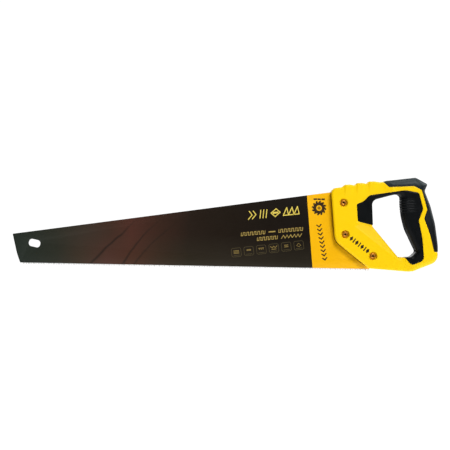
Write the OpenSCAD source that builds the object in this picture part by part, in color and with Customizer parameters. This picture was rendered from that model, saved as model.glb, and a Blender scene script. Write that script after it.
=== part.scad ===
// Hand saw: a tapered 500 mm blade in a closed plastic handle with rubber grips.
// Millimetres. +X runs from the toe to the handle along the tooth line, +Z from
// the teeth to the back of the blade, Y across the thickness.
// The origin is the middle of the hand grip. Outlines are drawn from the heel,
// which is the end of the tooth line at the handle, and moved there at the end.

/* [Blade] */
// Length of the toothed edge, toe to heel
blade_len = 500; // [380:5:600]
// Height of the toe, square to the tooth line
toe_h = 41; // [30:0.5:55]
// How far the top of the toe stands ahead of the first tooth
toe_rake = 11.5; // [0:0.5:25]
// Thickness of the steel
blade_t = 0.9; // [0.6:0.05:1.5]
// Spacing of the teeth
tooth_pitch = 3.6; // [2:0.1:6]
// Depth of the teeth below the coated plate
tooth_depth = 2.4; // [1:0.1:4]
// Length of the hanging slot in the toe
hang_len = 16.6; // [13:0.2:24]
// Height of the hanging slot
hang_w = 10.6; // [8:0.2:12.5]

/* [Handle] */
// Length of the handle, front edge to palm
handle_l = 153; // [140:1:175]
// Height of the handle, sole to the top of the thumb pad
handle_h = 134; // [125:0.5:150]
// Thickness of the flat cheek that holds the blade
cheek_t = 20; // [17:0.5:24]
// Thickness of the hand grip
grip_t = 29; // [25:0.5:34]
// Number of thumb ribs on the top edge
rib_count = 3; // [1:1:3]
// Height of the thumb ribs
rib_h = 2.4; // [1:0.1:3]
// Width of the sloping face beside the hand opening
bevel_w = 13; // [8:0.5:15]
// Depth of that slope at the opening
bevel_drop = 3.5; // [1:0.25:4.5]

/* [Grips] */
// Rubber thickness round the hand opening
lining_t = 3; // [2:0.25:4]
// Rubber thickness over the palm
palm_skin_t = 3.5; // [2:0.25:5]
// Thickness of the plastic core under both grips
core_t = 14; // [10:0.5:15]

/* [Fasteners] */
// Diameter of the screw shank
screw_d = 4; // [3:0.1:5]
// Diameter of the screw and nut heads
head_d = 8.4; // [7.4:0.1:9.6]
// Height of the screw and nut heads
head_h = 2.2; // [1.5:0.1:2.6]
// Hexagon socket, across flats
socket_af = 3; // [2:0.1:4]
// Outside diameter of the nut sleeve
sleeve_d = 6; // [5.8:0.1:6.8]
// Diameter of the sunk pocket round each head
pocket_d = 12; // [10.5:0.1:13]
// Depth of that pocket below the cheek
pocket_h = 4.2; // [3:0.1:5.5]

/* [Fits] */
// Gap between blade and slot, each side
slot_gap = 0.05; // [0.02:0.01:0.2]
// Gap round the sleeve in the handle and blade, on the radius
sleeve_gap = 0.1; // [0.05:0.01:0.3]
// Gap between screw and sleeve, on the radius
thread_gap = 0.08; // [0.03:0.01:0.2]
// Gap between the moulded core and the rubber
bond_gap = 0.04; // [0.02:0.01:0.1]
// Gap left under the screw and nut heads
seat_gap = 0.02; // [0.01:0.01:0.1]

/* [Hidden] */

kx = handle_l / 153;            // handle drawing stretched to its length
kz = handle_h / 134;            // and to its height
grip_c = [69 * kx, 66 * kz];    // middle of the hand grip, from the heel
grip_lean = 16;                 // lean of the hand grip from upright
top_slope = 8.35;               // slope of the handle's top edge
front_x = -57.2 * kx;           // front edge of the handle at the blade back
back_z = 108.9 * kz;            // height of the blade back at that edge
tooth_n = floor(blade_len / tooth_pitch);
pocket_floor = cheek_t / 2 - pocket_h;
sleeve_l = pocket_floor * 2 - 1.2;
shank_l = pocket_floor * 2 - 1;
socket_h = head_h * 0.7;
deep = 300;                     // longer than any part it cuts

// Screw places in the cheek, from the heel
upper_at = [-39.1 * kx, 94.1 * kz];
middle_at = [-35.9 * kx, 49 * kz];
lower_at = [4.1 * kx, 18.9 * kz];

blade_tint = [0.16, 0.13, 0.11];
body_tint = [1, 0.8, 0.02];
rubber_tint = [0.09, 0.1, 0.11];
steel_tint = [0.78, 0.76, 0.72];

// ---------- outline helpers ----------

// Arc that rounds the corner b between a and c with radius r
function corner(a, b, c, r) =
  let (
    u = (a - b) / norm(a - b),
    v = (c - b) / norm(c - b),
    half = acos(max(-1, min(1, u * v))) / 2,
    t = r / tan(half),
    mid = (u + v) / norm(u + v),
    o = b + mid * r / sin(half),
    p = b + u * t - o,
    q = b + v * t - o,
    s = atan2(p.y, p.x),
    raw = atan2(q.y, q.x) - s,
    turn = raw > 180 ? raw - 360 : raw < -180 ? raw + 360 : raw,
    n = max(2, ceil(abs(turn) / 11))
  )
  [for (i = [0:n]) o + r * [cos(s + turn * i / n), sin(s + turn * i / n)]];

// Closed outline from [x, z, corner radius] points
function smooth(pts) =
  [for (i = [0:len(pts) - 1])
    let (
      a = pts[(i + len(pts) - 1) % len(pts)],
      b = pts[i],
      c = pts[(i + 1) % len(pts)]
    )
    each b[2] > 0
      ? corner([a[0], a[1]], [b[0], b[1]], [c[0], c[1]], b[2])
      : [[b[0], b[1]]]];

// The same points stretched to the handle's length and height
function fit(pts) = [for (p = pts) [p[0] * kx, p[1] * kz, p[2]]];

// Stands a flat outline up in the XZ plane with thickness t along Y
module slab(t) {
  rotate([90, 0, 0]) linear_extrude(t, center = true) children();
}

module from_heel() {
  translate([-grip_c.x, 0, -grip_c.y]) children();
}

// ---------- handle outlines, from the heel ----------

rib_step = 17.1;

module handle_outline() {
  polygon(smooth(fit([
    [-0.7, 1, 1.2],
    [-50.2, 39.5, 20],
    [-57.2, 114, 7],
    for (k = [0:rib_count - 1]) each [
      [-40.6 + rib_step * k, 116.5 + 2.6 * k, 1.2],
      [-38 + rib_step * k, 117.4 + rib_h + 2.6 * k, 2.4],
      [-30.4 + rib_step * k, 117.8 + rib_h + 2.6 * k, 4]
    ],
    [12 + rib_step * (rib_count - 3), 124.3 + 2.6 * (rib_count - 3), 5],
    [17.6, 124.8, 0],
    [20.4, 126, 3],
    [63, 131.6, 4],
    [81.2, 122.7, 1.8],
    [75.9, 113, 5],
    [84.6, 91.8, 50],
    [91.6, 66.6, 70],
    [96.3, 36, 80],
    [96.8, 12.6, 14],
    [60.5, -2.4, 26],
    [52, -2.4, 30]
  ])));
}

module hand_opening() {
  polygon(smooth(fit([
    [3.2, 61.1, 1.5],
    [1.1, 98.4, 9],
    [28, 106, 30],
    [42.7, 109.2, 6.5],
    [43.2, 91.5, 60],
    [45.1, 76.5, 60],
    [50.1, 57.8, 50],
    [66, 26.2, 4],
    [58.4, 17.9, 8],
    [40, 17.9, 3]
  ])));
}

// Rubber round the opening and over the front of the grip
module finger_region() {
  polygon(smooth(fit([
    [3.2, 62.7, 0],
    [-18.3, 67.9, 2.5],
    [-20.6, 92.1, 2.5],
    [-11, 96.5, 6],
    [-2.5, 105.2, 6],
    [47.7, 113.4, 25],
    [67, 110.1, 4],
    [73.5, 87.3, 8],
    [67.4, 70.5, 6],
    [73.2, 45.1, 80],
    [76, 14.2, 7],
    [58.6, 6.7, 6],
    [49.2, 18, 0],
    [20, 60, 0]
  ])));
}

// Rubber over the thumb rest, the horn and the palm
module palm_region() {
  polygon(smooth(fit([
    [16.5, 125, 0],
    [24.9, 117.5, 4],
    [59.8, 119.5, 4],
    [71.1, 113.9, 3],
    [79.2, 86.7, 7],
    [75.1, 73.5, 5],
    [83.6, 51.9, 80],
    [89.9, 26.9, 1.6],
    [98, 25.9, 0],
    [110, 60, 0],
    [110, 150, 0],
    [16.5, 150, 0]
  ])));
}

// ---------- handle solid ----------

// Lean of the grip once the drawing is stretched, and how far its plan stretches
plan_lean = atan2(sin(grip_lean) / kz, cos(grip_lean) / kx);
plan_k = 1 / norm([cos(grip_lean) / kx, sin(grip_lean) / kz]);

// Plan of the handle, drawn square to the lean of the grip
module handle_plan() {
  c = cheek_t / 2;
  g = grip_t / 2;
  half = [
    [-90 * plan_k, c, 0],
    [60 * plan_k, c, 5],
    [70 * plan_k, g, 9],
    [97 * plan_k, g, 10],
    [108 * plan_k, g * 0.52, 7],
    [118 * plan_k, g * 0.38, 0]
  ];
  polygon(smooth([
    each half,
    each [for (i = [len(half) - 1:-1:0]) [half[i].x, -half[i].y, half[i].z]]
  ]));
}

// Crowned bar that eases the handle's edge along one straight run.
// p is a point on the edge, ang the way the edge runs, solid to its right.
module edge_bar(p, ang) {
  c = cheek_t / 2;
  g = grip_t / 2;
  side = [
    [c - 2.6, 0],
    [c - 1, -0.9],
    [c, -2.4],
    [(c + g) / 2, -5.2],
    [g, -9.5],
    [g, -deep]
  ];
  run = atan2(sin(ang) * kz, cos(ang) * kx);
  translate([p.x * kx, 0, p.y * kz]) rotate([0, -run, 0]) rotate([90, 0, 90])
    linear_extrude(2 * deep, center = true)
      polygon([
        each side,
        each [for (i = [len(side) - 1:-1:0]) [-side[i].x, side[i].y]]
      ]);
}

// Sloping face that runs down to the hand opening on both cheeks
module opening_bevels() {
  run = [40 * kx - 3.2 * kx, 17.9 * kz - 61.1 * kz];
  ang = atan2(run.y, run.x);
  c = cheek_t / 2;
  for (s = [-1, 1])
    translate([3.2 * kx, s * c, 61.1 * kz]) rotate([0, -ang, 0]) rotate([90, 0, 90])
      translate([0, 0, -34])
        linear_extrude(norm(run) + 50)
          polygon([
            [s * 8, -bevel_w],
            [0, -bevel_w],
            [-s * bevel_drop, 0],
            [-s * bevel_drop, 4],
            [s * 8, 4]
          ]);
}

module handle_solid() {
  intersection() {
    slab(2 * grip_t) difference() {
      handle_outline();
      hand_opening();
    }
    rotate([0, -plan_lean, 0]) linear_extrude(2 * deep, center = true) handle_plan();
    edge_bar([-50, 115.6 + rib_h], top_slope);
    edge_bar([63, 131.6], -25.3);
    edge_bar([0, -2.4], 180);
    edge_bar([79, 5], 202);
    edge_bar([-25, 21], 142.5);
    edge_bar([-53.8, 78], 96);
  }
}

// Plastic left under the finger rubber
module finger_core(gap) {
  slab(core_t - 2 * gap) difference() {
    offset(delta = 1) finger_region();
    offset(r = lining_t + gap) hand_opening();
  }
}

// Plastic left under the palm rubber
module palm_core(gap) {
  slab(core_t - 2 * gap) intersection() {
    offset(delta = 1) palm_region();
    offset(delta = -palm_skin_t - gap) handle_outline();
  }
}

// ---------- blade ----------

// Slope of the blade's back from the toe to the handle
back_slope = (back_z - toe_h) / (front_x + blade_len + toe_rake);

// Plate above the teeth, with the hidden tang inside the handle; grow widens it
module plate_outline(grow) {
  polygon(smooth([
    [0, 0, 0],
    [-blade_len, 0, 0],
    [-blade_len - toe_rake * 0.42, toe_h * 0.31, 90],
    [-blade_len - toe_rake, toe_h, 0.8],
    [-26 * kx + grow, back_z + back_slope * (-26 * kx + grow - front_x), 4],
    [-25 * kx + grow, 70 * kz, 6],
    [17 * kx + grow, 22 * kz, 6],
    [15 * kx + grow, 6.5 * kz - grow, 3],
    [4.2 * kx, 6.2 * kz - grow, 1]
  ]));
}

// Row of teeth hung under the plate, with a shallow root left whole
module teeth_outline() {
  root = 0.3;
  for (i = [0:tooth_n - 1])
    translate([-tooth_pitch * (i + 1), 0])
      polygon([
        [0, root],
        [tooth_pitch, root],
        [tooth_pitch, 0],
        [tooth_pitch * 0.62, -tooth_depth],
        [0, 0]
      ]);
}

module hang_slot() {
  translate([20.1 - blade_len, toe_h * 0.685]) rotate(-12)
    polygon(smooth([
      [-hang_len / 2, -hang_w / 2, hang_w * 0.42],
      [-hang_len / 2, hang_w / 2, hang_w * 0.42],
      [hang_len / 2, hang_w / 2, hang_w * 0.42],
      [hang_len / 2, -hang_w / 2, hang_w * 0.42]
    ]));
}

module screw_places() {
  for (p = [upper_at, middle_at, lower_at])
    translate([p.x, 0, p.y]) rotate([90, 0, 0]) children();
}

module blade() {
  color(blade_tint) from_heel() difference() {
    slab(blade_t) difference() {
      union() {
        plate_outline(0);
        teeth_outline();
      }
      hang_slot();
    }
    screw_places()
      cylinder(h = 10, r = sleeve_d / 2 + sleeve_gap, center = true, $fn = 48);
  }
}

// ---------- handle pieces ----------

module handle_body() {
  color(body_tint) from_heel() difference() {
    handle_solid();
    difference() {
      slab(2 * grip_t) finger_region();
      finger_core(bond_gap);
    }
    difference() {
      slab(2 * grip_t) palm_region();
      palm_core(bond_gap);
    }
    opening_bevels();
    slab(blade_t + 2 * slot_gap) plate_outline(slot_gap + 0.25);
    screw_places() {
      cylinder(h = deep, r = sleeve_d / 2 + sleeve_gap, center = true, $fn = 48);
      for (s = [0, 1]) mirror([0, 0, s])
        translate([0, 0, pocket_floor])
          cylinder(h = cheek_t, r = pocket_d / 2, $fn = 48);
    }
  }
}

module finger_grip() {
  color(rubber_tint) from_heel() difference() {
    intersection() {
      handle_solid();
      slab(2 * grip_t) finger_region();
    }
    finger_core(0);
  }
}

module palm_grip() {
  color(rubber_tint) from_heel() difference() {
    intersection() {
      handle_solid();
      slab(2 * grip_t) palm_region();
    }
    palm_core(0);
  }
}

// ---------- fasteners ----------

// Puts a fastener drawn along +Z at a screw place, its head on the -Y cheek
module placed(p) {
  from_heel() translate([p.x, 0, p.y]) rotate([90, 0, 0]) children();
}

module cheek_screw() {
  color(steel_tint) difference() {
    union() {
      translate([0, 0, pocket_floor + seat_gap])
        cylinder(h = head_h - 0.7, r = head_d / 2, $fn = 48);
      translate([0, 0, pocket_floor + head_h - 0.7])
        cylinder(h = 0.7, r = head_d / 2 - 0.7, $fn = 48);
      translate([0, 0, pocket_floor - shank_l])
        cylinder(h = shank_l + 0.5, r = screw_d / 2, $fn = 48);
    }
    translate([0, 0, pocket_floor + head_h - socket_h])
      cylinder(h = 5, r = socket_af / sqrt(3), $fn = 6);
  }
}

module sleeve_nut() {
  color(steel_tint) mirror([0, 0, 1]) difference() {
    union() {
      translate([0, 0, pocket_floor + seat_gap])
        cylinder(h = head_h - 0.7, r = head_d / 2, $fn = 48);
      translate([0, 0, pocket_floor + head_h - 0.7])
        cylinder(h = 0.7, r = head_d / 2 - 0.7, $fn = 48);
      translate([0, 0, pocket_floor - sleeve_l])
        cylinder(h = sleeve_l + 0.5, r = sleeve_d / 2, $fn = 48);
    }
    translate([0, 0, -pocket_floor - 1])
      cylinder(h = shank_l + 1.4, r = screw_d / 2 + thread_gap, $fn = 48);
    translate([0, 0, pocket_floor + head_h - 0.8])
      cylinder(h = 5, r = socket_af / sqrt(3), $fn = 6);
  }
}

module upper_screw() {
  placed(upper_at) cheek_screw();
}

module middle_screw() {
  placed(middle_at) cheek_screw();
}

module lower_screw() {
  placed(lower_at) cheek_screw();
}

module upper_sleeve_nut() {
  placed(upper_at) sleeve_nut();
}

module middle_sleeve_nut() {
  placed(middle_at) sleeve_nut();
}

module lower_sleeve_nut() {
  placed(lower_at) sleeve_nut();
}

blade();
handle_body();
finger_grip();
palm_grip();
upper_screw();
middle_screw();
lower_screw();
upper_sleeve_nut();
middle_sleeve_nut();
lower_sleeve_nut();
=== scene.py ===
"""Hand saw: a coated blade with ground teeth, a moulded yellow handle with rubber
grips, three pairs of screws, and printed marks. Drawings are in millimetres from
the heel, the end of the tooth line at the handle; the pieces are in metres."""

import math

import bpy
import numpy as np
from mathutils import Matrix, Vector


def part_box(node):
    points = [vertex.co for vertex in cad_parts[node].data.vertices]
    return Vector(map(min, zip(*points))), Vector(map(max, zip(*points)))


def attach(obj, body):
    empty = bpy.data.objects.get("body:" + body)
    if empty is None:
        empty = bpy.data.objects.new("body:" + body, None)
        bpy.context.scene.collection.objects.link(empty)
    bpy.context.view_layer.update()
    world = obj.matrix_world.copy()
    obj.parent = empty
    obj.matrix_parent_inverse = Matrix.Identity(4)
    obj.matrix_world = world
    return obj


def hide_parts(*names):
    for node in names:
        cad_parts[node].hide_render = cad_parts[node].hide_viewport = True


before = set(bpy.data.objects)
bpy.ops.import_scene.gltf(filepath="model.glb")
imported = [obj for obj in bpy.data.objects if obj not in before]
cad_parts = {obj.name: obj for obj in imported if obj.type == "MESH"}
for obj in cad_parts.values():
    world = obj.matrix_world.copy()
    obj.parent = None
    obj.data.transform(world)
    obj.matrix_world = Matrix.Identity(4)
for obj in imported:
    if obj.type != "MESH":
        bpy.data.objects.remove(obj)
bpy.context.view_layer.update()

MM = 0.001
SCREWS = {"upper": (-39.1, 94.1), "middle": (-35.9, 49.0), "lower": (4.1, 18.9)}
screw_low, screw_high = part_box("lower_screw")
HEEL = Vector((
    (screw_low.x + screw_high.x) / 2 - SCREWS["lower"][0] * MM,
    0.0,
    (screw_low.z + screw_high.z) / 2 - SCREWS["lower"][1] * MM,
))

# half thicknesses, from the middle plane of the blade
CHEEK = 10.0          # flat cheek that holds the blade
GRIP = 14.2           # hand grip
CORE = 7.0            # plastic core under the rubber
BLADE = 0.45          # steel
STOCK = 15.0          # block that the handle is shaped from
THROUGH = 20.0        # tools that cut right through the handle
BLADE_THROUGH = 5.0   # tools that cut right through the blade

GRIP_LEAN = math.radians(16)
RIB_COUNT, RIB_STEP = 3, 17.1
RIB_FLARE = 1.25      # how far the thumb ribs stand out at the sides
FRONT_DRAFT = 1.1     # how far the front walls lean out at the blade
PROUD = 0.3           # how far the rubber stands above the plastic
JOINT_DIP = 0.40      # groove along the edge of the rubber
JOINT_GAP = 0.12      # clearance between rubber and plastic
LINING, PALM_SKIN = 3, 3.5  # rubber over the core at the opening and at the palm
FINGER_RIB, FINGER_RIB_STEP = 0.24, 3.6

HOLE_R = 3.1          # holes for the nut sleeves
POCKET_R = 6.0        # sunk pockets round the screws
POCKET_FLOOR = 5.8
POCKET_FLARE = 0.75
HEAD_R, HEAD_H = 4.2, 2.15
SOCKET_FLATS, SOCKET_DEPTH = 3.0, 1.5

GRAIN = 0.62          # spacing of the handle's mesh
FIELD_TURN = 9        # degrees a step round corners of lines that are measured to
CORE_TURN = 11        # the same on hidden cores and slots

# ---------------------------------------------------------------- drawings

HANDLE = [
    (-0.7, 1, 1.2), (-50.2, 39.5, 20), (-57.2, 114, 7),
    *[p for k in range(RIB_COUNT) for p in (
        (-40.6 + RIB_STEP * k, 116.5 + 2.6 * k, 1.2),
        (-38.0 + RIB_STEP * k, 119.8 + 2.6 * k, 2.4),
        (-30.4 + RIB_STEP * k, 120.2 + 2.6 * k, 4))],
    (12, 124.3, 5), (17.6, 124.8, 0), (20.4, 126, 3), (63, 131.6, 4),
    (81.2, 122.7, 1.8), (75.9, 113, 5), (84.6, 91.8, 50), (91.6, 66.6, 70),
    (96.3, 36, 80), (96.8, 12.6, 14), (60.5, -2.4, 26), (52, -2.4, 30),
]
OPENING = [
    (3.2, 61.1, 1.5), (1.1, 98.4, 9), (28, 106, 30), (42.7, 109.2, 6.5),
    (43.2, 91.5, 60), (45.1, 76.5, 60), (50.1, 57.8, 50), (66, 26.2, 4),
    (58.4, 17.9, 8), (40, 17.9, 3),
]
FINGER_REGION = [
    (3.2, 62.7, 0), (-18.3, 67.9, 2.5), (-20.6, 92.1, 2.5), (-11, 96.5, 6),
    (-2.5, 105.2, 6), (47.7, 113.4, 25), (67, 110.1, 4), (73.5, 87.3, 8),
    (67.4, 70.5, 6), (73.2, 45.1, 80), (76, 14.2, 7), (58.6, 6.7, 6),
    (49.2, 18, 0), (20, 60, 0),
]
PALM_REGION = [
    (16.5, 125, 0), (24.9, 117.5, 4), (59.8, 119.5, 4), (71.1, 113.9, 3),
    (79.2, 86.7, 7), (75.1, 73.5, 5), (83.6, 51.9, 80), (89.9, 26.9, 1.6),
    (98, 25.9, 0), (110, 60, 0), (110, 150, 0), (16.5, 150, 0),
]
TOE = (-511.5, 41)
BACK = (-57.2, 108.9)   # where the back of the blade enters the handle
BACK_SLOPE = (BACK[1] - TOE[1]) / (BACK[0] - TOE[0])
TANG_TOP = -26
PLATE = [
    (0, 0, 0), (-500, 0, 0), (-504.83, 12.7, 90), (*TOE, 0.8),
    (TANG_TOP, BACK[1] + BACK_SLOPE * (TANG_TOP - BACK[0]), 4), (-25, 70, 6),
    (17, 22, 6), (15, 6.5, 3), (4.2, 6.2, 1),
]
HANG_MIDDLE, HANG_TILT = (-479.9, 28.1), math.radians(-12)
HANG_HALF, HANG_CORNER = (8.3, 5.3), 4.45
BAND_TOP, BAND_RUN = (-91, 104), (10.0, -103.5)  # slanted line where the band begins


def at(x, y, z):
    """A place in the row frame from millimetres off the heel."""
    return Vector((HEEL.x + x * MM, y * MM, HEEL.z + z * MM))


def rounded(points, turn=6.0):
    """Closed outline from (x, z, corner radius), with its corners turned to arcs."""
    out = []
    for i, (bx, bz, r) in enumerate(points):
        b = np.array((bx, bz), float)
        if r <= 0:
            out.append(b)
            continue
        u = np.array(points[i - 1][:2], float) - b
        v = np.array(points[(i + 1) % len(points)][:2], float) - b
        u, v = u / np.linalg.norm(u), v / np.linalg.norm(v)
        half = math.acos(max(-1, min(1, float(u @ v)))) / 2
        mid = (u + v) / np.linalg.norm(u + v)
        o = b + mid * r / math.sin(half)
        p, q = b + u * r / math.tan(half) - o, b + v * r / math.tan(half) - o
        start = math.atan2(p[1], p[0])
        sweep = math.atan2(q[1], q[0]) - start
        sweep = (sweep + math.pi) % (2 * math.pi) - math.pi
        n = max(2, math.ceil(abs(sweep) / math.radians(turn)))
        for j in range(n + 1):
            a = start + sweep * j / n
            out.append(o + r * np.array((math.cos(a), math.sin(a))))
    return np.array(out)


def reach(points, outline):
    """How far each point lies inside an outline, and the way further in."""
    a, b = outline, np.roll(outline, -1, 0)
    ab = b - a
    long2 = (ab ** 2).sum(1) + 1e-12
    turn = np.sign((a[:, 0] * b[:, 1] - b[:, 0] * a[:, 1]).sum())
    side = np.stack((-ab[:, 1], ab[:, 0]), 1) * turn
    side /= np.linalg.norm(side, axis=1)[:, None] + 1e-12
    depth, inward = np.empty(len(points)), np.empty((len(points), 2))
    batch, touching = 4000, 0.08
    for s in range(0, len(points), batch):
        p = points[s:s + batch]
        ap = p[:, None, :] - a[None]
        t = np.clip((ap * ab).sum(2) / long2, 0, 1)
        gap = ap - t[..., None] * ab
        d2 = (gap ** 2).sum(2)
        k = d2.argmin(1)
        row = np.arange(len(p))
        d = np.sqrt(d2[row, k])
        z = p[:, 1, None]
        meets = (a[:, 1] > z) != (b[:, 1] > z)
        rise = np.where(ab[:, 1] == 0, 1e-9, ab[:, 1])
        cross = a[:, 0] + (z - a[:, 1]) * ab[:, 0] / rise
        inside = (meets & (p[:, 0, None] < cross)).sum(1) % 2 == 1
        sign = np.where(inside, 1.0, -1.0)
        way = gap[row, k] / np.maximum(d, 1e-9)[:, None] * sign[:, None]
        near = d < touching
        way[near] = side[k[near]]
        depth[s:s + batch] = d * sign
        inward[s:s + batch] = way
    return depth, inward


def ease(a, b, t):
    """0 below a, 1 above b, and smooth between."""
    t = np.clip((t - a) / (b - a), 0, 1)
    return t * t * (3 - 2 * t)


# ---------------------------------------------------------------- bench tools

def pick(*obs):
    """Selects pieces, and nothing else, in object mode."""
    if bpy.context.object and bpy.context.object.mode != "OBJECT":
        bpy.ops.object.mode_set(mode="OBJECT")
    bpy.ops.object.select_all(action="DESELECT")
    for ob in obs:
        ob.select_set(True)
    if obs:
        bpy.context.view_layer.objects.active = obs[0]


def edit(ob, mode="FACE", everything=False):
    """Opens a piece in edit mode with all of it or none of it selected."""
    pick(ob)
    bpy.ops.object.mode_set(mode="EDIT")
    bpy.ops.mesh.select_mode(type=mode)
    bpy.ops.mesh.select_all(action="SELECT" if everything else "DESELECT")


def leave():
    bpy.ops.object.mode_set(mode="OBJECT")


def choose(ob, test):
    """Selects the faces of a piece that pass a test, from inside edit mode."""
    leave()
    for f in ob.data.polygons:
        f.select = bool(test(f))
    bpy.ops.object.mode_set(mode="EDIT")


def settle(ob):
    """Applies a piece's own place, turn and scale."""
    pick(ob)
    bpy.ops.object.transform_apply(location=True, rotation=True, scale=True)


def fit(ob, kind, **settings):
    """Adds a modifier and applies it."""
    pick(ob)
    m = ob.modifiers.new(kind.lower(), kind)
    for key, value in settings.items():
        setattr(m, key, value)
    bpy.ops.object.modifier_apply(modifier=m.name)


def cut(ob, tool, way="DIFFERENCE", keep=False):
    """Takes a tool out of a piece, or keeps only what they share."""
    fit(ob, "BOOLEAN", operation=way, object=tool, solver="MANIFOLD")
    if not keep:
        drop(tool)


def drop(ob):
    data = ob.data
    bpy.data.objects.remove(ob)
    bpy.data.meshes.remove(data)


def twin(ob, name):
    new = ob.copy()
    new.data = ob.data.copy()
    new.name = new.data.name = name
    bpy.context.scene.collection.objects.link(new)
    return new


def outward(ob):
    edit(ob, everything=True)
    bpy.ops.mesh.normals_make_consistent(inside=False)
    leave()


def slab(name, outline, y0, y1):
    """A plate cut to an outline in XZ, drawn out from y0 to y1 (mm)."""
    pick()
    bpy.ops.mesh.primitive_circle_add(vertices=len(outline), fill_type="NGON")
    ob = bpy.context.object
    ob.name = ob.data.name = name
    for v, (x, z) in zip(ob.data.vertices, outline):
        v.co = at(x, y0, z)
    edit(ob, everything=True)
    bpy.ops.mesh.extrude_region_move(
        TRANSFORM_OT_translate={"value": (0, (y1 - y0) * MM, 0)})
    leave()
    outward(ob)
    return ob


def post(name, place, radius, y0, y1, flare=0.0):
    """A round bar along Y at a place, its outer end flared to soften a rim."""
    pick()
    bpy.ops.mesh.primitive_cylinder_add(
        vertices=48, radius=radius * MM, depth=abs(y1 - y0) * MM,
        location=at(place[0], (y0 + y1) / 2, place[1]),
        rotation=(math.pi / 2, 0, 0))
    ob = bpy.context.object
    ob.name = ob.data.name = name
    settle(ob)
    if flare:
        edit(ob)
        way = math.copysign(1, y1 - y0)
        choose(ob, lambda f: f.normal.y * way > 0.9)
        middle = at(place[0], y1, place[1])
        steps, run_out = 4, 2
        for k in range(1, steps + 1):
            a = k / steps * math.pi / 2
            b = (k - 1) / steps * math.pi / 2
            rise = flare * (math.sin(a) - math.sin(b))
            r0 = radius + flare * (1 - math.cos(b))
            r1 = radius + flare * (1 - math.cos(a))
            bpy.ops.mesh.extrude_region_move(
                TRANSFORM_OT_translate={"value": (0, way * rise * MM, 0)})
            bpy.ops.transform.resize(
                value=(r1 / r0, 1, r1 / r0), center_override=middle)
        bpy.ops.mesh.extrude_region_move(
            TRANSFORM_OT_translate={"value": (0, way * run_out * MM, 0)})
        leave()
        outward(ob)
    return ob


def finished(ob, material, slot, *nodes, angle=35):
    """Shades a piece, gives it its material and ties it to the frame."""
    pick(ob)
    if angle:
        bpy.ops.object.shade_smooth_by_angle(angle=math.radians(angle))
    if material is not None:
        ob.data.materials.clear()
        ob.data.materials.append(material)
    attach(ob, "root")
    if nodes:
        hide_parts(*nodes)


def read(items, field):
    """Three numbers for each item, as an array."""
    out = np.empty(len(items) * 3, np.float32)
    items.foreach_get(field, out)
    return out.reshape(-1, 3).astype(float)


def write(ob, co):
    ob.data.vertices.foreach_set("co", co.astype(np.float32).ravel())
    ob.data.update()


def side_view(co):
    """Places in the side view, in millimetres off the heel."""
    return np.stack(((co[:, 0] - HEEL.x) / MM, (co[:, 2] - HEEL.z) / MM), 1)


# ---------------------------------------------------------------- finishes

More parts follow.
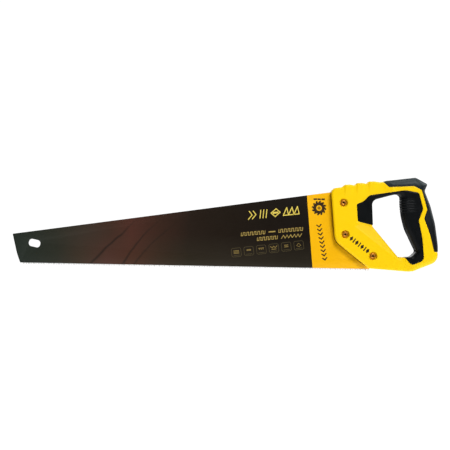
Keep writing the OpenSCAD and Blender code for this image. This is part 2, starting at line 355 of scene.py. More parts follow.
class Finish:
    """A material and the short words that its nodes are laid with."""

    def __init__(self, name, **sockets):
        self.m = bpy.data.materials.new(name)
        self.m.use_nodes = True
        self.tree = self.m.node_tree
        self.skin = self.tree.nodes["Principled BSDF"]
        for key, value in sockets.items():
            self.skin.inputs[key.replace("_", " ")].default_value = value
        self.place = self.tree.nodes.new("ShaderNodeTexCoord").outputs["Object"]

    def link(self, a, b):
        self.tree.links.new(a, b)
        return b

    def stretch(self, scale):
        n = self.tree.nodes.new("ShaderNodeMapping")
        n.inputs["Scale"].default_value = scale
        self.link(self.place, n.inputs["Vector"])
        return n.outputs["Vector"]

    def noise(self, scale, detail, rough, where=None):
        n = self.tree.nodes.new("ShaderNodeTexNoise")
        n.inputs["Scale"].default_value = scale
        n.inputs["Detail"].default_value = detail
        n.inputs["Roughness"].default_value = rough
        self.link(where or self.place, n.inputs["Vector"])
        return n.outputs["Fac"]

    def ramp(self, value, stops, soft=False):
        n = self.tree.nodes.new("ShaderNodeValToRGB")
        e = n.color_ramp.elements
        n.color_ramp.interpolation = "EASE" if soft else "LINEAR"
        while len(e) < len(stops):
            e.new(0.5)
        for el, (pos, col) in zip(e, stops):
            el.position = pos
            col = (col,) * 3 if isinstance(col, (int, float)) else col
            el.color = (*col, 1)
        self.link(value, n.inputs["Fac"])
        return n.outputs["Color"]

    def blend(self, fac, a, b, way="MIX"):
        n = self.tree.nodes.new("ShaderNodeMix")
        n.data_type = "RGBA"
        n.blend_type = way
        ins = [s for s in n.inputs if s.type == "RGBA"]
        for s, v in zip([n.inputs[0], *ins], (fac, a, b)):
            if isinstance(v, (int, float)):
                s.default_value = v
            elif isinstance(v, tuple):
                s.default_value = (*v, 1)
            else:
                self.link(v, s)
        return [s for s in n.outputs if s.type == "RGBA"][0]

    def sum(self, a, b, way="ADD"):
        n = self.tree.nodes.new("ShaderNodeMath")
        n.operation = way
        for s, v in zip(n.inputs, (a, b)):
            if isinstance(v, (int, float)):
                s.default_value = v
            else:
                self.link(v, s)
        return n.outputs[0]

    def mottled(self, value, a, b):
        """Two close tones of one colour, parted by a noise."""
        return self.ramp(value, [(0.3, a), (0.7, b)])

    def axis(self, letter):
        n = self.tree.nodes.new("ShaderNodeSeparateXYZ")
        self.link(self.place, n.inputs[0])
        return n.outputs[letter]

    def span(self, value, a, b, to0=0.0, to1=1.0):
        n = self.tree.nodes.new("ShaderNodeMapRange")
        limits = {"From Min": a, "From Max": b, "To Min": to0, "To Max": to1}
        for key, v in limits.items():
            n.inputs[key].default_value = v
        self.link(value, n.inputs["Value"])
        return n.outputs["Result"]

    def colour(self, source):
        self.link(source, self.skin.inputs["Base Color"])

    def rough(self, value, lo, hi):
        """Roughness between two limits, led by a noise."""
        self.link(self.span(value, 0.3, 0.7, lo, hi), self.skin.inputs["Roughness"])

    def bump(self, *layers):
        """Each layer is (height, strength, distance in metres)."""
        last = None
        for height, strength, distance in layers:
            n = self.tree.nodes.new("ShaderNodeBump")
            n.inputs["Strength"].default_value = strength
            n.inputs["Distance"].default_value = distance
            self.link(height, n.inputs["Height"])
            if last:
                self.link(last, n.inputs["Normal"])
            last = n.outputs["Normal"]
        self.link(last, self.skin.inputs["Normal"])


def srgb(r, g, b):
    """Linear colour from 0-255 values."""
    return tuple(
        c / 12.92 if c <= 0.04045 else ((c + 0.055) / 1.055) ** 2.4
        for c in (r / 255, g / 255, b / 255))


def yellow_plastic():
    """Moulded yellow, with painted shade darkening the wall that meets the blade."""
    f = Finish("yellow_plastic", Specular_IOR_Level=0.13)
    clouds = f.noise(22, 3, 0.6)
    body = f.mottled(clouds, (0.865, 0.553, 0.0012), (0.885, 0.573, 0.0018))
    # painted shade: the front wall by the blade is mixed toward a deep brown, as if in
    # shadow
    painted_wall_shade = f.tree.nodes.new("ShaderNodeAttribute")
    painted_wall_shade.attribute_name = "painted_wall_shade"
    f.colour(f.blend(painted_wall_shade.outputs["Fac"], body, (0.10, 0.030, 0.001)))
    f.rough(f.noise(60, 4, 0.6), 0.34, 0.42)
    f.bump((f.noise(1500, 3, 0.6), 0.12, 0.00006), (f.noise(150, 2, 0.5), 0.05, 0.0002))
    return f.m


def black_rubber():
    """Soft black, with a fine grain."""
    f = Finish("black_rubber", Specular_IOR_Level=0.10)
    clouds = f.noise(35, 4, 0.6)
    f.colour(f.mottled(clouds, (0.0014, 0.0020, 0.0025), (0.0024, 0.0032, 0.0037)))
    f.rough(f.noise(90, 4, 0.6), 0.36, 0.46)
    f.bump((f.noise(1300, 4, 0.65), 0.25, 0.00012),
           (f.noise(220, 2, 0.5), 0.06, 0.0002))
    return f.m


def painted_light_rubber():
    """Black rubber with painted light: a painted sheen makes the palm side a shade
    paler, and a painted highlight makes its top face paler still.
    """
    f = Finish("painted_light_rubber", Specular_IOR_Level=0.18)
    clouds = f.noise(30, 4, 0.6)
    foot = f.mottled(clouds, (0.0024, 0.0030, 0.0036), (0.0036, 0.0042, 0.0048))
    # painted sheen: paler rubber up the palm side, where it turns toward the lamps
    painted_palm_sheen = f.mottled(clouds, (0.0055, 0.0095, 0.0125), (0.0080, 0.0125, 0.0160))
    # painted highlight on the upward-facing top face
    painted_top_highlight = f.mottled(clouds, (0.0190, 0.0290, 0.0310), (0.0250, 0.0360, 0.0385))
    # these heights place the painted sheen above the foot and the painted highlight on
    # the top
    palm = f.span(f.axis("Z"), at(0, 0, 58).z, at(0, 0, 82).z)
    rise = f.span(f.axis("Z"), at(0, 0, 119.5).z, at(0, 0, 122.5).z)
    f.colour(f.blend(rise, f.blend(palm, foot, painted_palm_sheen), painted_top_highlight))
    f.rough(f.noise(80, 4, 0.6), 0.40, 0.52)
    f.bump((f.noise(1300, 4, 0.65), 0.25, 0.00012),
           (f.noise(200, 2, 0.5), 0.06, 0.0002))
    return f.m


def blade_coat():
    """Dark lacquer with a painted reflection: its tint drifts from green at the toe
    through red to brown.
    """
    f = Finish("blade_coat", Specular_IOR_Level=0.07)
    along = f.span(f.axis("X"), at(-500, 0, 0).x, at(0, 0, 0).x, 0, 500)
    across = f.span(f.axis("Z"), at(0, 0, 0).z, at(0, 0, 120).z, 0, 120)
    wander = f.sum(f.noise(16, 3, 0.55), 0.5, "SUBTRACT")
    painted_reflection_drift = f.span(f.sum(along, f.sum(wander, 30.0, "MULTIPLY")), 0, 400)
    # painted reflection: the green, red and brown tints along the blade stand in for
    # what the glossy lacquer reflects; the lower ramp is lighter toward the tooth edge
    upper = f.ramp(painted_reflection_drift, [
        (0.00, srgb(40, 47, 41)), (0.125, srgb(46, 47, 39)), (0.23, srgb(59, 50, 42)),
        (0.31, srgb(64, 45, 36)), (0.39, srgb(76, 45, 37)), (0.50, srgb(55, 36, 28)),
        (0.60, srgb(36, 27, 21)), (0.73, srgb(29, 22, 16)), (0.95, srgb(19, 14, 10))])
    lower = f.ramp(painted_reflection_drift, [
        (0.00, srgb(38, 46, 40)), (0.125, srgb(45, 47, 39)), (0.23, srgb(62, 50, 39)),
        (0.31, srgb(78, 51, 43)), (0.39, srgb(72, 46, 35)), (0.50, srgb(55, 43, 32)),
        (0.60, srgb(43, 38, 28)), (0.73, srgb(43, 38, 30)), (0.95, srgb(37, 33, 25))])
    coat_and_painted_reflection = f.blend(f.span(across, 45, 2), upper, lower)
    # three soft curved darker streaks across the coat, fading toward the back
    for start, slope, bend, wide, deep in (
            (103, 0.78, 0.0030, 3.8, 0.75), (146, 0.55, 0.0042, 3.2, 0.66),
            (160, 0.92, 0.0010, 3.0, 0.50)):
        line = f.sum(f.sum(across, slope, "MULTIPLY"), start)
        line = f.sum(line, f.sum(f.sum(across, across, "MULTIPLY"), bend, "MULTIPLY"))
        gap = f.sum(f.sum(along, line, "SUBTRACT"), f.sum(wander, 16.0, "MULTIPLY"))
        near = f.ramp(f.span(f.sum(gap, 0.0, "ABSOLUTE"), 0, wide), [
            (0.0, deep), (1.0, 0.0)], soft=True)
        fade = f.ramp(f.span(across, 0, 80), [(0.0, 1.0), (0.5, 0.9), (0.85, 0.0)])
        coat_and_painted_reflection = f.blend(f.blend(1.0, near, fade, "MULTIPLY"), coat_and_painted_reflection, srgb(30, 27, 23))
    grain = f.noise(6, 5, 0.7, f.stretch((9, 1, 420)))
    coat_and_painted_reflection = f.blend(f.span(grain, 0.35, 0.65, 0.0, 0.08), coat_and_painted_reflection, srgb(74, 66, 56))
    f.colour(coat_and_painted_reflection)
    f.rough(f.noise(40, 4, 0.6), 0.30, 0.40)
    f.bump((f.noise(900, 3, 0.6), 0.10, 0.00003), (grain, 0.05, 0.00003))
    return f.m


def band_paint():
    """The yellow band, a warmer yellow than the plastic."""
    f = Finish("band_paint", Specular_IOR_Level=0.14)
    clouds = f.noise(24, 3, 0.6)
    f.colour(f.mottled(clouds, (0.825, 0.420, 0.0012), (0.845, 0.440, 0.0020)))
    f.rough(f.noise(50, 4, 0.6), 0.30, 0.40)
    f.bump((f.noise(900, 3, 0.6), 0.08, 0.00003))
    return f.m


def ground_steel():
    """Bare teeth, ground across the blade."""
    f = Finish("ground_steel", Metallic=0.6)
    lines = f.noise(30, 3, 0.6, f.stretch((60, 4, 2)))
    f.colour(f.mottled(lines, (0.80, 0.79, 0.77), (0.92, 0.91, 0.90)))
    f.rough(lines, 0.34, 0.48)
    f.bump((lines, 0.12, 0.00004))
    return f.m


def warm_plating_and_painted_reflection():
    """Warm plating on the screw and nut heads, its orange deepened as a painted
    reflection of the yellow pockets round them.
    """
    f = Finish("warm_plating_and_painted_reflection", Metallic=1.0)
    # partly painted reflection: the copper-orange stands in for the yellow pocket walls
    # seen in the metal
    f.colour(f.mottled(f.noise(260, 3, 0.6), (0.46, 0.18, 0.022), (0.58, 0.26, 0.045)))
    f.rough(f.noise(700, 3, 0.6), 0.34, 0.46)
    f.bump((f.noise(2400, 2, 0.5), 0.08, 0.00003))
    return f.m


def painted_socket_shade():
    """The plating with painted shade, darkened down in the sockets."""
    f = Finish("painted_socket_shade", Metallic=1.0)
    clouds = f.noise(500, 3, 0.6)
    f.colour(f.mottled(clouds, (0.05, 0.018, 0.004), (0.09, 0.034, 0.008)))
    f.rough(f.noise(900, 3, 0.6), 0.45, 0.6)
    return f.m


def ink(name, light, dark):
    """Printed ink, a little uneven."""
    f = Finish(name, Specular_IOR_Level=0.2)
    f.colour(f.mottled(f.noise(420, 3, 0.7), dark, light))
    f.rough(f.noise(200, 2, 0.5), 0.40, 0.55)
    f.bump((f.noise(2200, 2, 0.5), 0.10, 0.00002))
    return f.m


YELLOW, RUBBER, RUBBER_WITH_PAINTED_LIGHT = yellow_plastic(), black_rubber(), painted_light_rubber()
COAT_AND_PAINTED_REFLECTION, BAND = blade_coat(), band_paint()
GROUND, PLATING_AND_PAINTED_REFLECTION, SOCKET_SHADE = ground_steel(), warm_plating_and_painted_reflection(), painted_socket_shade()
GOLD_INK = ink("pale_gold_ink", srgb(226, 204, 92), srgb(210, 186, 78))
DULL_INK = ink("dull_gold_ink", srgb(172, 148, 78), srgb(154, 130, 66))
SIGN_INK = ink("sign_gold_ink", srgb(130, 110, 60), srgb(114, 96, 50))
FAINT_INK = ink("faint_gold_ink", srgb(84, 74, 46), srgb(70, 61, 38))
DARK_INK = ink("dark_ink", srgb(46, 32, 10), srgb(36, 25, 8))
BAND_INK = ink("band_ink", srgb(60, 42, 16), srgb(46, 32, 12))

# ---------------------------------------------------------------- handle form


def beyond(x, z, place, way):
    """How far a point lies past a line through a place, along the way given."""
    return (x - place[0]) * way[0] + (z - place[1]) * way[1]


def across_grip(x, z):
    """Distance behind the heel, square to the leaning grip."""
    return x * math.cos(GRIP_LEAN) + z * math.sin(GRIP_LEAN)


def half_thickness(x, z):
    """Half thickness of the handle at a place in its side view."""
    s = across_grip(x, z)
    h = CHEEK + (GRIP - CHEEK) * ease(46, 66, s)
    # thinner at the front of the grip and at the horn
    front_loss, horn_loss = 1.6, 4.5
    h = h - front_loss * ease(60, 66, s) * np.clip((84 - s) / 22, 0, 1) ** 2
    h = h - horn_loss * ease(66, 84, x) * ease(110, 122, z)
    # thumb ribs, fading down from the top edge
    edge = 117.6 + (x + 39.6) * 0.151
    for k in range(RIB_COUNT):
        t = (x + 39 - RIB_STEP * k) / RIB_STEP
        rise = ease(0, 0.16, t) * (1 - ease(0.48, 0.82, t))
        h = h + RIB_FLARE * rise * (1 - ease(4, 17, edge - z))
    # the face sloping down to the opening, with a soft bead along its crest
    fall, bead, bead_width, soften = 0.25, 0.20, 1.3, 0.8
    crest = beyond(x, z, (-23.6, 60.6), (0.594, 0.804))
    slope = (crest + np.sqrt(crest ** 2 + soften)) / 2
    under_pad = beyond(x, z, (-18.3, 67.9), (0.242, 1)) * 0.972
    beside_pad = beyond(x, z, (-21, 64), (0.77, -0.64))
    facet = 1 - ease(-2.2, 0.6, under_pad)
    facet = facet * (1 - ease(38, 58, x)) * ease(-3, 3, beside_pad)
    return h - (fall * slope - bead * np.exp(-(crest / bead_width) ** 2)) * facet


def front_wall(x, z, depth):
    """1 on the handle's front and slanting walls, over the blade, and 0 elsewhere."""
    slanting = ease(-3, 2, beyond(x, z, (-0.7, 1), (-0.614, -0.789)) + 4)
    slanting = slanting * (1 - ease(-8, -1, x))
    front = ease(-3, 2, -50.5 - x) * (1 - ease(104, 110, z))
    return np.clip(slanting + front, 0, 1) * (1 - ease(0.2, 3.0, depth))


def outer_radius(x, z):
    """Rounding of the outer rim: small on the cheek, larger round the grip and horn."""
    s = across_grip(x, z)
    return 2.8 + 5.4 * ease(48, 74, s) + 1.2 * ease(116, 122, z) * ease(20, 34, x)


def opening_radius(x, z):
    """Rounding of the opening's rim: largest on the grip side."""
    return 2.4 + 5.0 * ease(30, 44, x) * ease(14, 30, z) + 1.4 * ease(96, 104, z)


def roll_over(p, y, depth, inward, radius):
    """Turns the sharp rim of the form over to a round one."""
    t = np.abs(y) / STOCK
    e = (1 - t) * half_thickness(p[:, 0], p[:, 1])
    d = np.maximum(depth, 0)
    rim = (d < radius) & (e < radius)
    a = np.where(rim, math.pi / 4 * (1 - d / radius + e / radius), 0)
    move = np.where(rim, radius * (1 - np.sin(a)) - d, 0)
    p = p + inward * move[:, None]
    lower = np.where(rim, radius * (1 - np.cos(a)), 0)
    return p, lower, rim


def onto_line(p, depth, inward):
    """Moves the points beside a drawn line onto it."""
    beside = np.abs(depth) < 0.5 * GRAIN
    p = np.where(beside[:, None], p - inward * depth[:, None], p)
    return p, np.where(beside, 0, depth)


def handle_form():
    """The whole handle as one skin, plastic and rubber together."""
    form = slab("handle_form", rounded(HANDLE), -STOCK, STOCK)
    cut(form, slab("opening", rounded(OPENING), -THROUGH, THROUGH))
    fit(form, "REMESH", mode="VOXEL", voxel_size=GRAIN * MM, adaptivity=0.0)
    co = read(form.data.vertices, "co")
    p, y = side_view(co), co[:, 1] / MM
    opening = rounded(OPENING, FIELD_TURN)
    out_d, out_n = reach(p, rounded(HANDLE, FIELD_TURN))
    in_d, in_n = reach(p, opening)
    in_d, in_n = -in_d, -in_n
    # pull the grid onto the drawn lines and the flat faces
    p, out_d = onto_line(p, out_d, out_n)
    p, in_d = onto_line(p, in_d, in_n)
    y = np.where(np.abs(y) > STOCK - 0.5 * GRAIN, np.sign(y) * STOCK, y)
    # round both rims
    r = outer_radius(p[:, 0], p[:, 1])
    p, low_out, rim_out = roll_over(p, y, out_d, out_n, r)
    r = opening_radius(p[:, 0], p[:, 1])
    p, low_in, rim_in = roll_over(p, y, in_d, in_n, r)
    h = half_thickness(p[:, 0], p[:, 1])
    rim = rim_out | rim_in
    size = np.where(rim, h - np.maximum(low_out, low_in), np.abs(y) / STOCK * h)
    y = np.sign(y) * size
    # the front walls lean out a little toward the blade
    lean = FRONT_DRAFT * (1 - np.abs(y) / CHEEK) * front_wall(p[:, 0], p[:, 1], out_d)
    p = p - out_n * lean[:, None]
    write(form, np.stack((HEEL.x + p[:, 0] * MM, y * MM, HEEL.z + p[:, 1] * MM), 1))
    edit(form, "VERT", everything=True)
    bpy.ops.mesh.vertices_smooth(factor=0.5, repeat=3)
    leave()
    raise_rubber(form, opening)
    return form


def raise_rubber(form, opening):
    """Lifts the rubber a little proud of the plastic, with a groove at each joint."""
    co = read(form.data.vertices, "co")
    p = side_view(co)
    lift = np.zeros(len(co))
    for region in (FINGER_REGION, PALM_REGION):
        b, _ = reach(p, rounded(region, FIELD_TURN))
        lift += PROUD * ease(0, 1.3, b) - JOINT_DIP * np.clip(1 - (b / 1.1) ** 2, 0, 1)
    # shallow finger ribs high on the front of the grip
    x, z = p[:, 0], p[:, 1]
    d, _ = reach(p, opening)
    on = ease(80, 83, z) * (1 - ease(100, 103, z))
    on = on * ease(36, 42, x) * (1 - ease(12, 24, -d))
    lift += FINGER_RIB * on * np.sin((z - 82) * 2 * math.pi / FINGER_RIB_STEP)
    nor = read(form.data.vertex_normals, "vector")
    write(form, co + nor * (lift * MM)[:, None])


def grown(outline, by):
    """An outline moved outwards by a small distance."""
    a, b, c = np.roll(outline, 1, 0), outline, np.roll(outline, -1, 0)
    turn = np.sign((b[:, 0] * c[:, 1] - c[:, 0] * b[:, 1]).sum())
    u = (b - a) / np.linalg.norm(b - a, axis=1)[:, None]
    v = (c - b) / np.linalg.norm(c - b, axis=1)[:, None]
    n1 = np.stack((u[:, 1], -u[:, 0]), 1) * turn
    n2 = np.stack((v[:, 1], -v[:, 0]), 1) * turn
    m = n1 + n2
    m /= np.linalg.norm(m, axis=1)[:, None]
    sharpest = 0.4   # keeps the shift finite at a sharp corner
    return b + m * (by / np.maximum((m * n1).sum(1), sharpest))[:, None]


def paint_wall_shade(ob):
    """Notes on each point how much painted shade it takes on the front wall by the
    blade.
    """
    co = read(ob.data.vertices, "co")
    p, y = side_view(co), np.abs(co[:, 1]) / MM
    depth, _ = reach(p, rounded(HANDLE, FIELD_TURN))
    painted_shade = front_wall(p[:, 0], p[:, 1], np.maximum(depth, 0)) * (1 - ease(5.5, 8.6, y))
    painted_shade = np.where(depth < 1.2, painted_shade, 0)
    layer = ob.data.attributes.new("painted_wall_shade", "FLOAT", "POINT")
    layer.data.foreach_set("value", painted_shade.astype(np.float32))


def make_handle():
    """Parts the skin into the shell and the two grips, and cuts the slot and holes."""
    body = handle_form()
    finger, palm = rounded(FINGER_REGION), rounded(PALM_REGION)
    finger_core = slab("finger_core", grown(finger, 1), -CORE, CORE)
    cut(finger_core, slab("core_gap", grown(rounded(OPENING), LINING), -12, 12))
    inner = grown(rounded(HANDLE, CORE_TURN), -PALM_SKIN)
    palm_core = slab("palm_core", inner, -CORE, CORE)
    cut(palm_core, slab("palm_part", grown(palm, 1), -12, 12), "INTERSECT")
    grips = []
    for name, line, core in (("finger_rubber", finger, finger_core),
                             ("palm_rubber", palm, palm_core)):
        grip = twin(body, name)
        cut(grip, slab("region", line, -THROUGH, THROUGH), "INTERSECT")
        cut(grip, core, keep=True)
        grips.append(grip)
        room = slab("room", grown(line, JOINT_GAP), -THROUGH, THROUGH)
        cut(room, core)
        cut(body, room)
    body.name = body.data.name = "handle_shell"
    cut(body, slab("blade_slot", grown(rounded(PLATE, CORE_TURN), 0.3), -0.5, 0.5))
    for place in SCREWS.values():
        cut(body, post("hole", place, HOLE_R, -THROUGH, THROUGH))
        for way in (-1, 1):
            cut(body, post("pocket", place, POCKET_R, way * POCKET_FLOOR,
                           way * (CHEEK - 0.6), flare=POCKET_FLARE))
    # paints shade onto the front wall where it meets the blade
    paint_wall_shade(body)
    finished(body, YELLOW, "yellow_plastic", "handle_body")
    finished(grips[0], RUBBER, "black_rubber", "finger_grip")
    finished(grips[1], RUBBER_WITH_PAINTED_LIGHT, "black_rubber", "palm_grip")


# ---------------------------------------------------------------- blade


def make_blade():
    """The plate with its hanging slot, screw holes and painted band."""
    blade = slab("blade_plate", rounded(PLATE), -BLADE, BLADE)
    c, s = math.cos(HANG_TILT), math.sin(HANG_TILT)
    slot = []
    for sx, sz in ((-1, -1), (-1, 1), (1, 1), (1, -1)):
        a, b = sx * HANG_HALF[0], sz * HANG_HALF[1]
        slot.append((HANG_MIDDLE[0] + a * c - b * s,
                     HANG_MIDDLE[1] + a * s + b * c, HANG_CORNER))
    cut(blade, slab("slot", rounded(slot), -BLADE_THROUGH, BLADE_THROUGH))
    for place in SCREWS.values():
        cut(blade, post("hole", place, HOLE_R, -BLADE_THROUGH, BLADE_THROUGH))
    fit(blade, "BEVEL", width=0.09 * MM, segments=2, limit_method="ANGLE",
        angle_limit=math.radians(60))
    # the painted band ends on a slanted line
    edit(blade, everything=True)
    line = Vector((BAND_RUN[0], 0, BAND_RUN[1])).normalized()
    normal = Vector((-line.z, 0, line.x))
    start = at(BAND_TOP[0], 0, BAND_TOP[1])
    bpy.ops.mesh.bisect(plane_co=start, plane_no=normal)
    leave()
    blade.data.materials.clear()
    blade.data.materials.append(COAT_AND_PAINTED_REFLECTION)
    blade.data.materials.append(BAND)
    for f in blade.data.polygons:
        f.material_index = 1 if (f.center - start).dot(normal) > 0 else 0
    finished(blade, None, "blade_coat", "blade", angle=30)


def make_teeth():
    """One pair of teeth with opposite set and ground tips, laid along the edge."""
    pitch, depth, root = 3.6, 2.4, 0.35
    tip_at, tip_half = 0.62, 0.02      # shares of the pitch
    root_half_y, tip_half_y = 0.42, 0.30
    set_over, grind, grind_drop = 0.14, 0.22, 0.12
    pairs = 69
    pair = None
    for k, way in enumerate((1, -1)):
        pick()
        bpy.ops.mesh.primitive_cube_add(size=1, location=(0, 0, 0))
        tooth = bpy.context.object
        tooth.name = "tooth"
        for v in tooth.data.vertices:
            sx, sy, sz = (math.copysign(1, c) for c in v.co)
            if sz > 0:
                x = 0.0 if sx < 0 else pitch
                y, z = root_half_y * sy, root
            else:
                x = tip_at * pitch + sx * tip_half * pitch
                x += grind * sy * way * sx
                y = tip_half_y * sy + set_over * way
                z = -depth + grind_drop * sy * way
            v.co = at(-pitch * (k + 1) + x, y, z)
        edit(tooth, "EDGE", everything=True)
        bpy.ops.mesh.subdivide(number_cuts=1)
        leave()
        if pair is None:
            pair = tooth
        else:
            pick(pair, tooth)
            bpy.ops.object.join()
    pair.name = pair.data.name = "teeth"
    fit(pair, "ARRAY", count=pairs, use_relative_offset=False,
        use_constant_offset=True, constant_offset_displace=(-2 * pitch * MM, 0, 0))
    outward(pair)
    finished(pair, GROUND, "screw_steel", "blade", angle=20)


# ---------------------------------------------------------------- screws


def head(name, bar, bar_length, bore=0.0, bore_depth=0.0):
    """A button head with a hexagon socket, its bar hanging below, drawn along Z."""
    stand_off = 0.02   # gap between the head and the floor of its pocket
    button, top = 0.9, 2.0
    pick()
    bpy.ops.mesh.primitive_cylinder_add(
        vertices=48, radius=HEAD_R * MM, depth=HEAD_H * MM,
        location=(0, 0, (HEAD_H / 2 + stand_off) * MM))
    ob = bpy.context.object
    ob.name = ob.data.name = name
    settle(ob)
    edit(ob)
    choose(ob, lambda f: f.normal.z < -0.9)
    bpy.ops.mesh.inset(thickness=(HEAD_R - bar) * MM)
    bpy.ops.mesh.extrude_region_move(
        TRANSFORM_OT_translate={"value": (0, 0, -bar_length * MM)})
    if bore:
        bpy.ops.mesh.inset(thickness=(bar - bore) * MM)
        bpy.ops.mesh.extrude_region_move(
            TRANSFORM_OT_translate={"value": (0, 0, bore_depth * MM)})
    # round the outer edge of the top, then sink its middle a little
    bpy.ops.mesh.select_mode(type="EDGE")
    leave()
    for e in ob.data.edges:
        a, b = (ob.data.vertices[i].co for i in e.vertices)
        level = abs(a.xy.length - b.xy.length) < 1e-6
        outer = a.xy.length > (HEAD_R - 0.2) * MM
        e.select = min(a.z, b.z) > top * MM and level and outer
    bpy.ops.object.mode_set(mode="EDIT")
    bpy.ops.mesh.bevel(offset=button * MM, segments=5, affect="EDGES")
    bpy.ops.mesh.select_mode(type="FACE")
    choose(ob, lambda f: f.normal.z > 0.999 and f.center.z > top * MM)
    bpy.ops.mesh.inset(thickness=1.1 * MM)
    bpy.ops.mesh.inset(thickness=0.2 * MM, depth=-0.12 * MM)
    leave()
    pick()
    bpy.ops.mesh.primitive_cylinder_add(
        vertices=6, radius=SOCKET_FLATS / math.sqrt(3) * MM,
        depth=2 * SOCKET_DEPTH * MM, location=(0, 0, HEAD_H * MM))
    tool = bpy.context.object
    settle(tool)
    outward(ob)
    cut(ob, tool)
    return ob


def make_screws():
    """Screws on the near side and sleeve nuts on the far, each turned its own way."""
    screw = head("screw", 2.0, 10.6)
    nut = head("sleeve_nut", 3.0, 10.4, 2.08, 9.6)
    wall_low, wall_high, wall_r = POCKET_FLOOR + 0.4, POCKET_FLOOR + 2.0, 1.74
    turn = 0
    for label, place in SCREWS.items():
        for kind, way in ((screw, -1), (nut, 1)):
            turn += 17
            piece = twin(kind, f"{label}_{kind.name}_head")
            spin = Matrix.Rotation(math.radians(turn), 4, "Z")
            stand = Matrix.Rotation(-way * math.pi / 2, 4, "X")
            move = Matrix.Translation(at(place[0], way * POCKET_FLOOR, place[1]))
            piece.data.transform(move @ stand @ spin)
            finished(piece, PLATING_AND_PAINTED_REFLECTION, "screw_steel", f"{label}_{kind.name}", angle=32)
            piece.data.materials.append(SOCKET_SHADE)
            # painted shade: faces down inside each socket take the darker material
            middle = at(place[0], 0, place[1])
            for f in piece.data.polygons:
                away = math.hypot(f.center.x - middle.x, f.center.z - middle.z)
                height = abs(f.center.y)
                if wall_low * MM < height < wall_high * MM and away < wall_r * MM:
                    f.material_index = 1
    drop(screw)
    drop(nut)


# ---------------------------------------------------------------- printed marks


class Print:
    """A set of thin ink strokes laid on a face, and again on the far side.
    One Print is drawn and done before the next is begun."""

    SINK, THICK, STEP, STEPS = 0.035, 0.13, 0.010, 5

    def __init__(self, name, material, face):
        self.name, self.material, self.face = name, material, face
        self.ob = None
        self.count = 0

    def stroke(self, a, b, width, over=None):
        """One bar from a to b, run on past both ends by half of over."""
        a, b = Vector(a), Vector(b)
        run = b - a
        length = run.length + (width if over is None else over)
        mid = (a + b) / 2
        # bars that cross lie on layers of different height, so no faces coincide
        thick = self.THICK + self.STEP * (self.count % self.STEPS)
        self.count += 1
        for way in (-1, 1):
            if self.ob is None:
                pick()
            bpy.ops.mesh.primitive_cube_add(
                size=1,
                location=at(mid.x, way * (self.face - self.SINK), mid.y),
                rotation=(0, -math.atan2(run.y, run.x), 0),
                scale=(length * MM, thick * MM, width * MM))
            if self.ob is None:
                self.ob = bpy.context.object
                self.ob.name = self.ob.data.name = self.name
                settle(self.ob)
                edit(self.ob)

    def path(self, points, width, closed=False, over=None):
        """Bars from point to point, and back to the first where closed."""
        pts = list(points) + ([points[0]] if closed else [])
        for a, b in zip(pts, pts[1:]):
            self.stroke(a, b, width, over)

    def done(self, slot):
        leave()
        outward(self.ob)
        finished(self.ob, self.material, slot, angle=0)


def slanted(origin, slope, lean):
    """Maps places on a mark's own drawing to the face, sloped and leant (degrees)."""
    c, s = math.cos(math.radians(slope)), math.sin(math.radians(slope))
    k = math.tan(math.radians(lean))

    def place(u, v):
        u += v * k
        return (origin[0] + u * c - v * s, origin[1] + u * s + v * c)
    return place


def row_of_shapes():
    """A row of bold shapes on the coat: chevrons, bars, a diamond and three peaks."""
    m = Print("row_of_shapes", GOLD_INK, BLADE)
    g = slanted((-174.0, 68.0), 6.9, 12)
    w, h, base = 1.35, 11.0, 0.4
    for u in (0, 5.6):
        m.path([g(u, 0), g(u + 4.6, h / 2), g(u, h)], w)
    for u in (16.5, 20.9, 25.3):
        m.path([g(u, 0), g(u, h)], w)
    m.path([g(32, h / 2), g(38.5, h), g(45, h / 2), g(38.5, 0)], w, True)
    m.path([g(35.9, h / 2), g(41.1, h / 2)], 2.6)
    m.path([g(50, base), g(73, base)], w)
    m.path([g(50, base), g(53.8, h), g(57.7, base), g(61.5, h), g(65.4, base),
            g(69.2, h), g(73, base)], w)
    m.done("blade_coat")


def lines_of_key_pattern():
    """Two lines of square key pattern, a dash and a zigzag."""
    m = Print("lines_of_key_pattern", DULL_INK, BLADE)
    tall, step, pitch, gap, dash = 4.3, 2.62, 5.25, 3.4, 2
    for start, groups in (((-184.0, 44.0), (7, dash, 7)), ((-161.0, 37.6), (6, 6))):
        g = slanted(start, 6.2, 10)
        u = 0.0
        for k, count in enumerate(groups):
            if count == dash:
                m.stroke(g(u, 2.1), g(u + 8.0, 2.1), 1.7)
            else:
                line = []
                for i in range(count * 2):
                    t, top = u + step * i, tall if i % 2 else 0.0
                    line += [g(t, top)] if k % 2 else [g(t, tall - top), g(t, top)]
                m.path(line, 0.85)
            u += count * pitch + gap
    m.done("blade_coat")


# each small sign is a list of (points, width of line)
SIGNS = (
    [([(-3.4, v), (3.4, v)], 1.0) for v in (-1.2, 0.6, 2.4)],
    [([(-2.2, 1.5), (2.2, 1.5)], 2.0)],
    [([(-3.6, 2.2), (3.6, 2.2)], 0.9),
     *[([(u, 0.2), (u, 1.4)], 0.8) for u in (-2.6, 0, 2.6)]],
    [([(-4.6, 2.8), (-2.3, 0.6), (0, 2.8), (2.3, 0.6), (4.6, 2.8)], 1.0),
     ([(-3, -1.4), (3, -1.4)], 1.0)],
    [([(-2.2, v), (2.4, v)], 1.2) for v in (0, 2.4)],
    [([(-3, 0), (0, 3), (3, 0), (0, -2), (-3, 0)], 0.6)],
)
SIGN_LAYERS = (0, 3, 4, 3, 3, 4)   # the layer of ink that each sign starts on


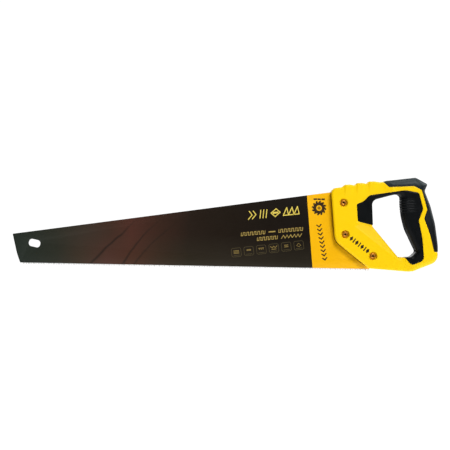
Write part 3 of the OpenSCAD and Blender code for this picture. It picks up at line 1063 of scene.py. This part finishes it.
def framed_signs():
    """Six faint frames, each with a line and its own small sign in it."""
    places = [slanted((-190.5 + 17.85 * i, 20.2 + 2.36 * i), 7.5, 0)
              for i in range(len(SIGNS))]
    w, h, c = 6.8, 6.2, 1.6
    frame_line = [(-w + c, -h), (w - c, -h), (w, -h + c), (w, h - c),
                  (w - c, h), (-w + c, h), (-w, h - c), (-w, -h + c)]
    m = Print("framed_signs", FAINT_INK, BLADE)
    for g in places:
        m.path([g(*p) for p in frame_line], 0.5, True)
        m.stroke(g(-4.2, -4.2), g(4.2, -4.2), 0.55)
    m.done("blade_coat")
    m = Print("framed_sign_middles", SIGN_INK, BLADE)
    for g, sign, layer in zip(places, SIGNS, SIGN_LAYERS):
        m.count = layer
        for points, width in sign:
            m.path([g(*p) for p in points], width)
    m.done("blade_coat")


def badge():
    """A badge like a round saw blade, with three dashes over it, on the band."""
    m = Print("badge", BAND_INK, BLADE)
    cx, cz = -73.2, 86.0

    def spoke(angle, radius):
        a = math.radians(angle)
        return (cx + radius * math.sin(a), cz + radius * math.cos(a))
    m.path([spoke(7.5 * k, 6.1) for k in range(48)], 4.2, True, 0.36)
    m.path([spoke(18 * k, 1.5) for k in range(20)], 1.3, True, 0.26)
    for a in range(0, 360, 30):
        m.stroke(spoke(a, 7.8), spoke(a + 8, 9.3), 2.4)
    for u in (-5.6, 0, 5.6):
        m.stroke((cx + u - 1.3, cz + 12.6), (cx + u + 1.3, cz + 12.6), 2.4)
    m.done("blade_coat")


def trail(start, run, count, slope):
    """Evenly spaced places on a line, each with the same slope."""
    for i in range(count):
        t = i / (count - 1)
        yield slanted((start[0] + run[0] * t, start[1] + run[1] * t), slope, 0)


def band_herringbone():
    """A herringbone trail down the band."""
    m = Print("band_herringbone", BAND_INK, BLADE)
    for g in trail((-72.8, 60.6), (9.2, -47.4), 9, -79):
        m.path([g(-1.3, -2.9), g(1.5, 0), g(-1.3, 2.9)], 1.7)
    m.done("blade_coat")


def cheek_lozenges():
    """Lozenges and bars by turns down the cheek."""
    m = Print("cheek_lozenges", DARK_INK, CHEEK)
    for i, g in enumerate(trail((-27.2, 43.2), (23.2, -17.2), 7, -36.5)):
        if i % 2:
            m.stroke(g(0, -2.7), g(0, 2.7), 1.7)
        else:
            m.path([g(-1.7, 0), g(0, 2.9), g(1.7, 0), g(0, -2.9)], 1.3, True, 0.9)
            m.stroke(g(0, -1.6), g(0, 1.6), 1.9, 0.0)
    m.done("yellow_plastic")


# ---------------------------------------------------------------- studio


def studio():
    """A pale floor and world, four soft lamps and the camera."""
    floor_drop = 0.42
    floor_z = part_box("handle_body")[0].z - floor_drop
    pick()
    bpy.ops.mesh.primitive_plane_add(size=3.2, location=(-0.25, -0.2, floor_z))
    floor = bpy.context.object
    floor.name = "floor"
    settle(floor)
    f = Finish("pale_floor", Roughness=0.9, Emission_Strength=0.8)
    f.skin.inputs["Emission Color"].default_value = (1, 1, 1, 1)
    f.colour(f.mottled(f.noise(3, 3, 0.6), (0.90, 0.90, 0.90), (0.93, 0.93, 0.93)))
    floor.data.materials.append(f.m)

    world = bpy.data.worlds.new("studio")
    bpy.context.scene.world = world
    world.use_nodes = True
    nodes, links = world.node_tree.nodes, world.node_tree.links
    nodes.clear()
    seen, lit = nodes.new("ShaderNodeBackground"), nodes.new("ShaderNodeBackground")
    seen.inputs["Color"].default_value = (1, 1, 1, 1)
    seen.inputs["Strength"].default_value = 1.05
    lit.inputs["Color"].default_value = (0.95, 0.97, 1.0, 1)
    lit.inputs["Strength"].default_value = 0.075
    pathway, mix, out = (nodes.new(k) for k in (
        "ShaderNodeLightPath", "ShaderNodeMixShader", "ShaderNodeOutputWorld"))
    links.new(pathway.outputs["Is Camera Ray"], mix.inputs[0])
    links.new(lit.outputs[0], mix.inputs[1])
    links.new(seen.outputs[0], mix.inputs[2])
    links.new(mix.outputs[0], out.inputs["Surface"])

    aim = Vector((-0.10, 0, 0))
    for name, place, size, power in (
        ("key", (0.42, -1.30, 1.05), (0.6, 0.6), 21),
        ("top", (-0.15, -0.1, 1.5), (1.8, 0.8), 15.5),
        ("rim", (0.9, 0.4, 0.5), (0.5, 0.8), 6),
        ("back", (-0.3, 1.5, 0.7), (1.6, 1.0), 12),
    ):
        bpy.ops.object.light_add(type="AREA", location=place)
        lamp = bpy.context.object
        lamp.name = name + "_light"
        lamp.data.shape = "RECTANGLE"
        lamp.data.size, lamp.data.size_y = size
        lamp.data.energy = power
        lamp.rotation_euler = (aim - Vector(place)).to_track_quat("-Z", "Y").to_euler()

    # camera square to the blade, turned so that the tooth line falls a little
    width, lens, sensor = 0.645, 78.0, 36.0
    roll = math.radians(1.0755)
    target = at(-207.5, 0, 59.15)
    bpy.ops.object.camera_add()
    camera = bpy.context.object
    camera.data.lens, camera.data.sensor_width = lens, sensor
    away = width * lens / sensor
    camera.location = target + away * Vector((0, -1, 0))
    upright = Matrix.Rotation(math.pi / 2, 4, "X")
    camera.rotation_euler = (upright @ Matrix.Rotation(roll, 4, "Z")).to_euler()
    camera.data.clip_start, camera.data.clip_end = 0.01, 50
    bpy.context.scene.camera = camera
    bpy.context.scene.view_settings.view_transform = "Standard"


studio()
make_blade()
make_teeth()
make_screws()
make_handle()
for make_mark in (row_of_shapes, lines_of_key_pattern, framed_signs, badge,
                  band_herringbone, cheek_lozenges):
    make_mark()
